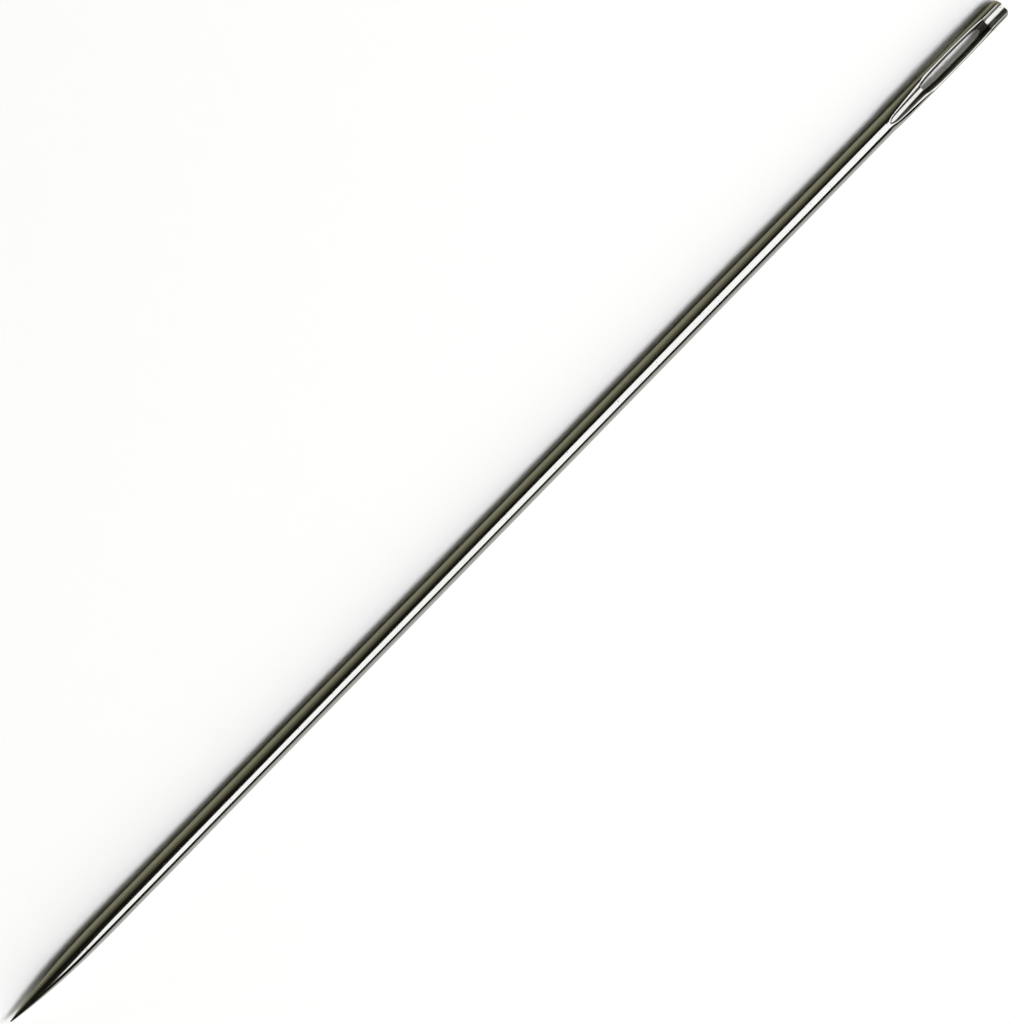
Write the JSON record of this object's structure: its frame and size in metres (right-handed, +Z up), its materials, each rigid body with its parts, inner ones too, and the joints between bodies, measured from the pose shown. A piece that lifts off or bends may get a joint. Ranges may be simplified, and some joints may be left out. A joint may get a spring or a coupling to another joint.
{
  "type": "long sewing needle",
  "caption": "Long straight hand-sewing needle in polished steel, with a tapered point and a long eye set in a gutter on each face of the head.",
  "frame": {"origin": "on the surface the needle lies on, below the middle of its bounding box", "axes": "+X along the needle from the point to the head, +Y across it, +Z up, through the eye"},
  "size_m": [0.125, 0.002, 0.0019],
  "materials": {
    "polished_steel": "polished"
  },
  "bodies": {
    "root": {"needle": "polished_steel"}
  },
  "joints": []
}
